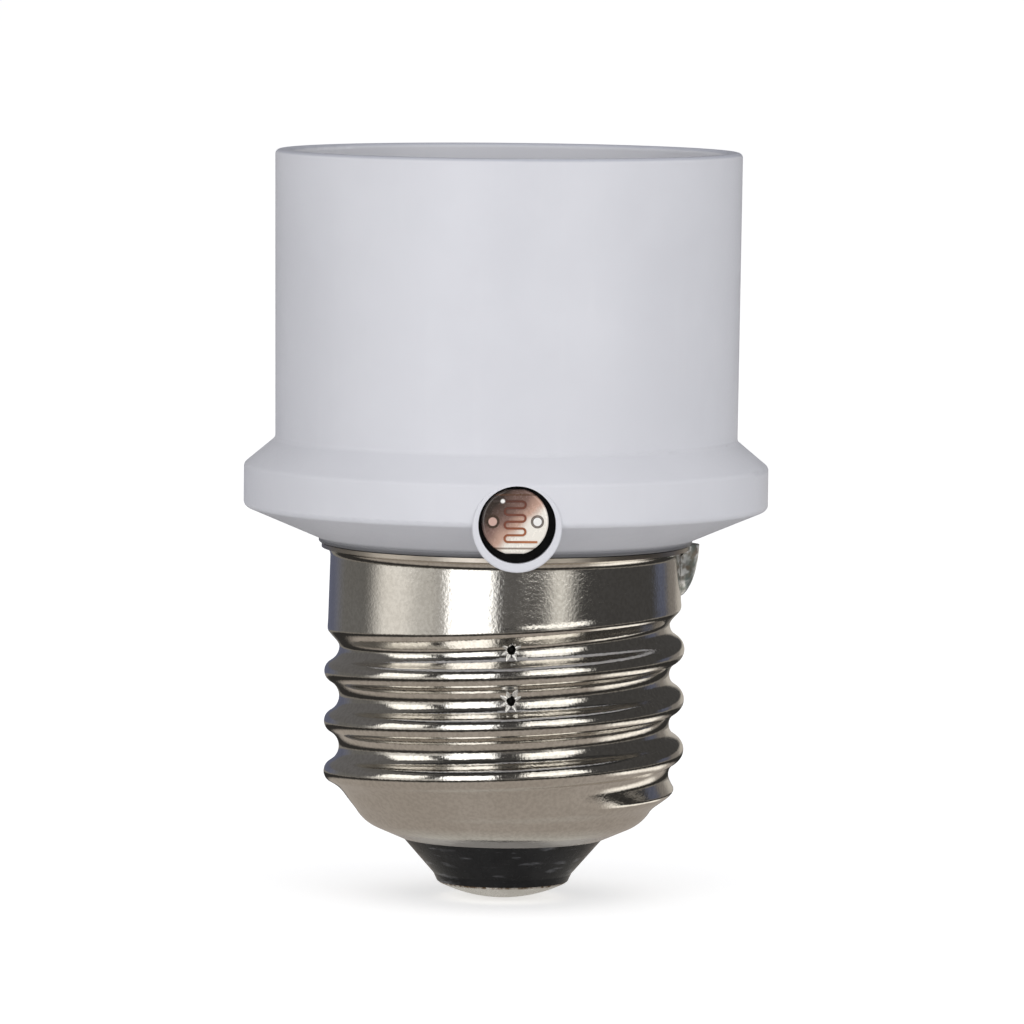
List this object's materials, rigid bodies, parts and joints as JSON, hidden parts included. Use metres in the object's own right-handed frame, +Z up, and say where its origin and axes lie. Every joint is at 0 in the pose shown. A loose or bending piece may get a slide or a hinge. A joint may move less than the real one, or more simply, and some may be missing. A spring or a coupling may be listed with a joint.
{
  "type": "light sensor lamp socket",
  "caption": "Screw-in lamp socket adapter with a photocell in its collar that switches the lamp it carries; white skirt above a nickel screw base.",
  "frame": {"origin": "tip of the base contact, on the screw axis", "axes": "+Z up along the screw axis to the lamp's mouth, -Y the way the photocell looks, +X towards the side solder"},
  "size_m": [0.0378, 0.0378, 0.054],
  "materials": {
    "white_plastic": "satin moulded white",
    "core_plastic": "satin moulded white",
    "base_nickel": "nickel plated, slightly dulled",
    "socket_nickel": "nickel plated",
    "black_insulator": "glossy black",
    "contact_metal": "tinned",
    "side_solder": "glossy solder",
    "board_solder": "glossy solder",
    "tinned_wire": "tinned copper",
    "rivet_brass": "plain brass",
    "spring_bronze": "plain bronze",
    "button_metal": "silver faced",
    "cell_ceramic": "coated ceramic",
    "cell_track": "reddish brown film",
    "cell_lead_metal": "tinned copper",
    "black_sleeve": "matte black",
    "board": "bare paper laminate",
    "resistor_body": "lacquered",
    "diac_body": "lacquered glass",
    "capacitor_body": "dipped epoxy",
    "triac_body": "moulded black",
    "line_cover": "soft wire cover"
  },
  "bodies": {
    "adapter": {"housing": "white_plastic", "base_screw_shell": "base_nickel", "base_insulator": "black_insulator", "base_contact": "contact_metal", "side_solder": "side_solder", "neutral_lead": "tinned_wire", "socket_core": "core_plastic", "socket_screw_shell": "socket_nickel", "shell_rivets": "rivet_brass", "contact_leaf": "spring_bronze", "leaf_rivet": "rivet_brass", "photocell": "cell_ceramic", "cell_track": "cell_track", "cell_leads": "cell_lead_metal", "cell_sleeve": "black_sleeve", "circuit_board": "board", "board_solder": "board_solder", "gate_resistor": "resistor_body", "divider_resistor": "resistor_body", "diac": "diac_body", "film_capacitor": "capacitor_body", "triac": "triac_body", "line_lead": "line_cover", "switched_lead": "tinned_wire", "socket_neutral_lead": "tinned_wire"},
    "centre_contact": {"contact_button": "button_metal"}
  },
  "joints": [
    {"name": "contact_press", "type": "slide", "parent": "adapter", "child": "centre_contact", "axis": [0, 0, -1], "range_m": [0, 0.0012], "stiffness_N_per_m": 2000, "deforming": ["contact_leaf"]}
  ]
}
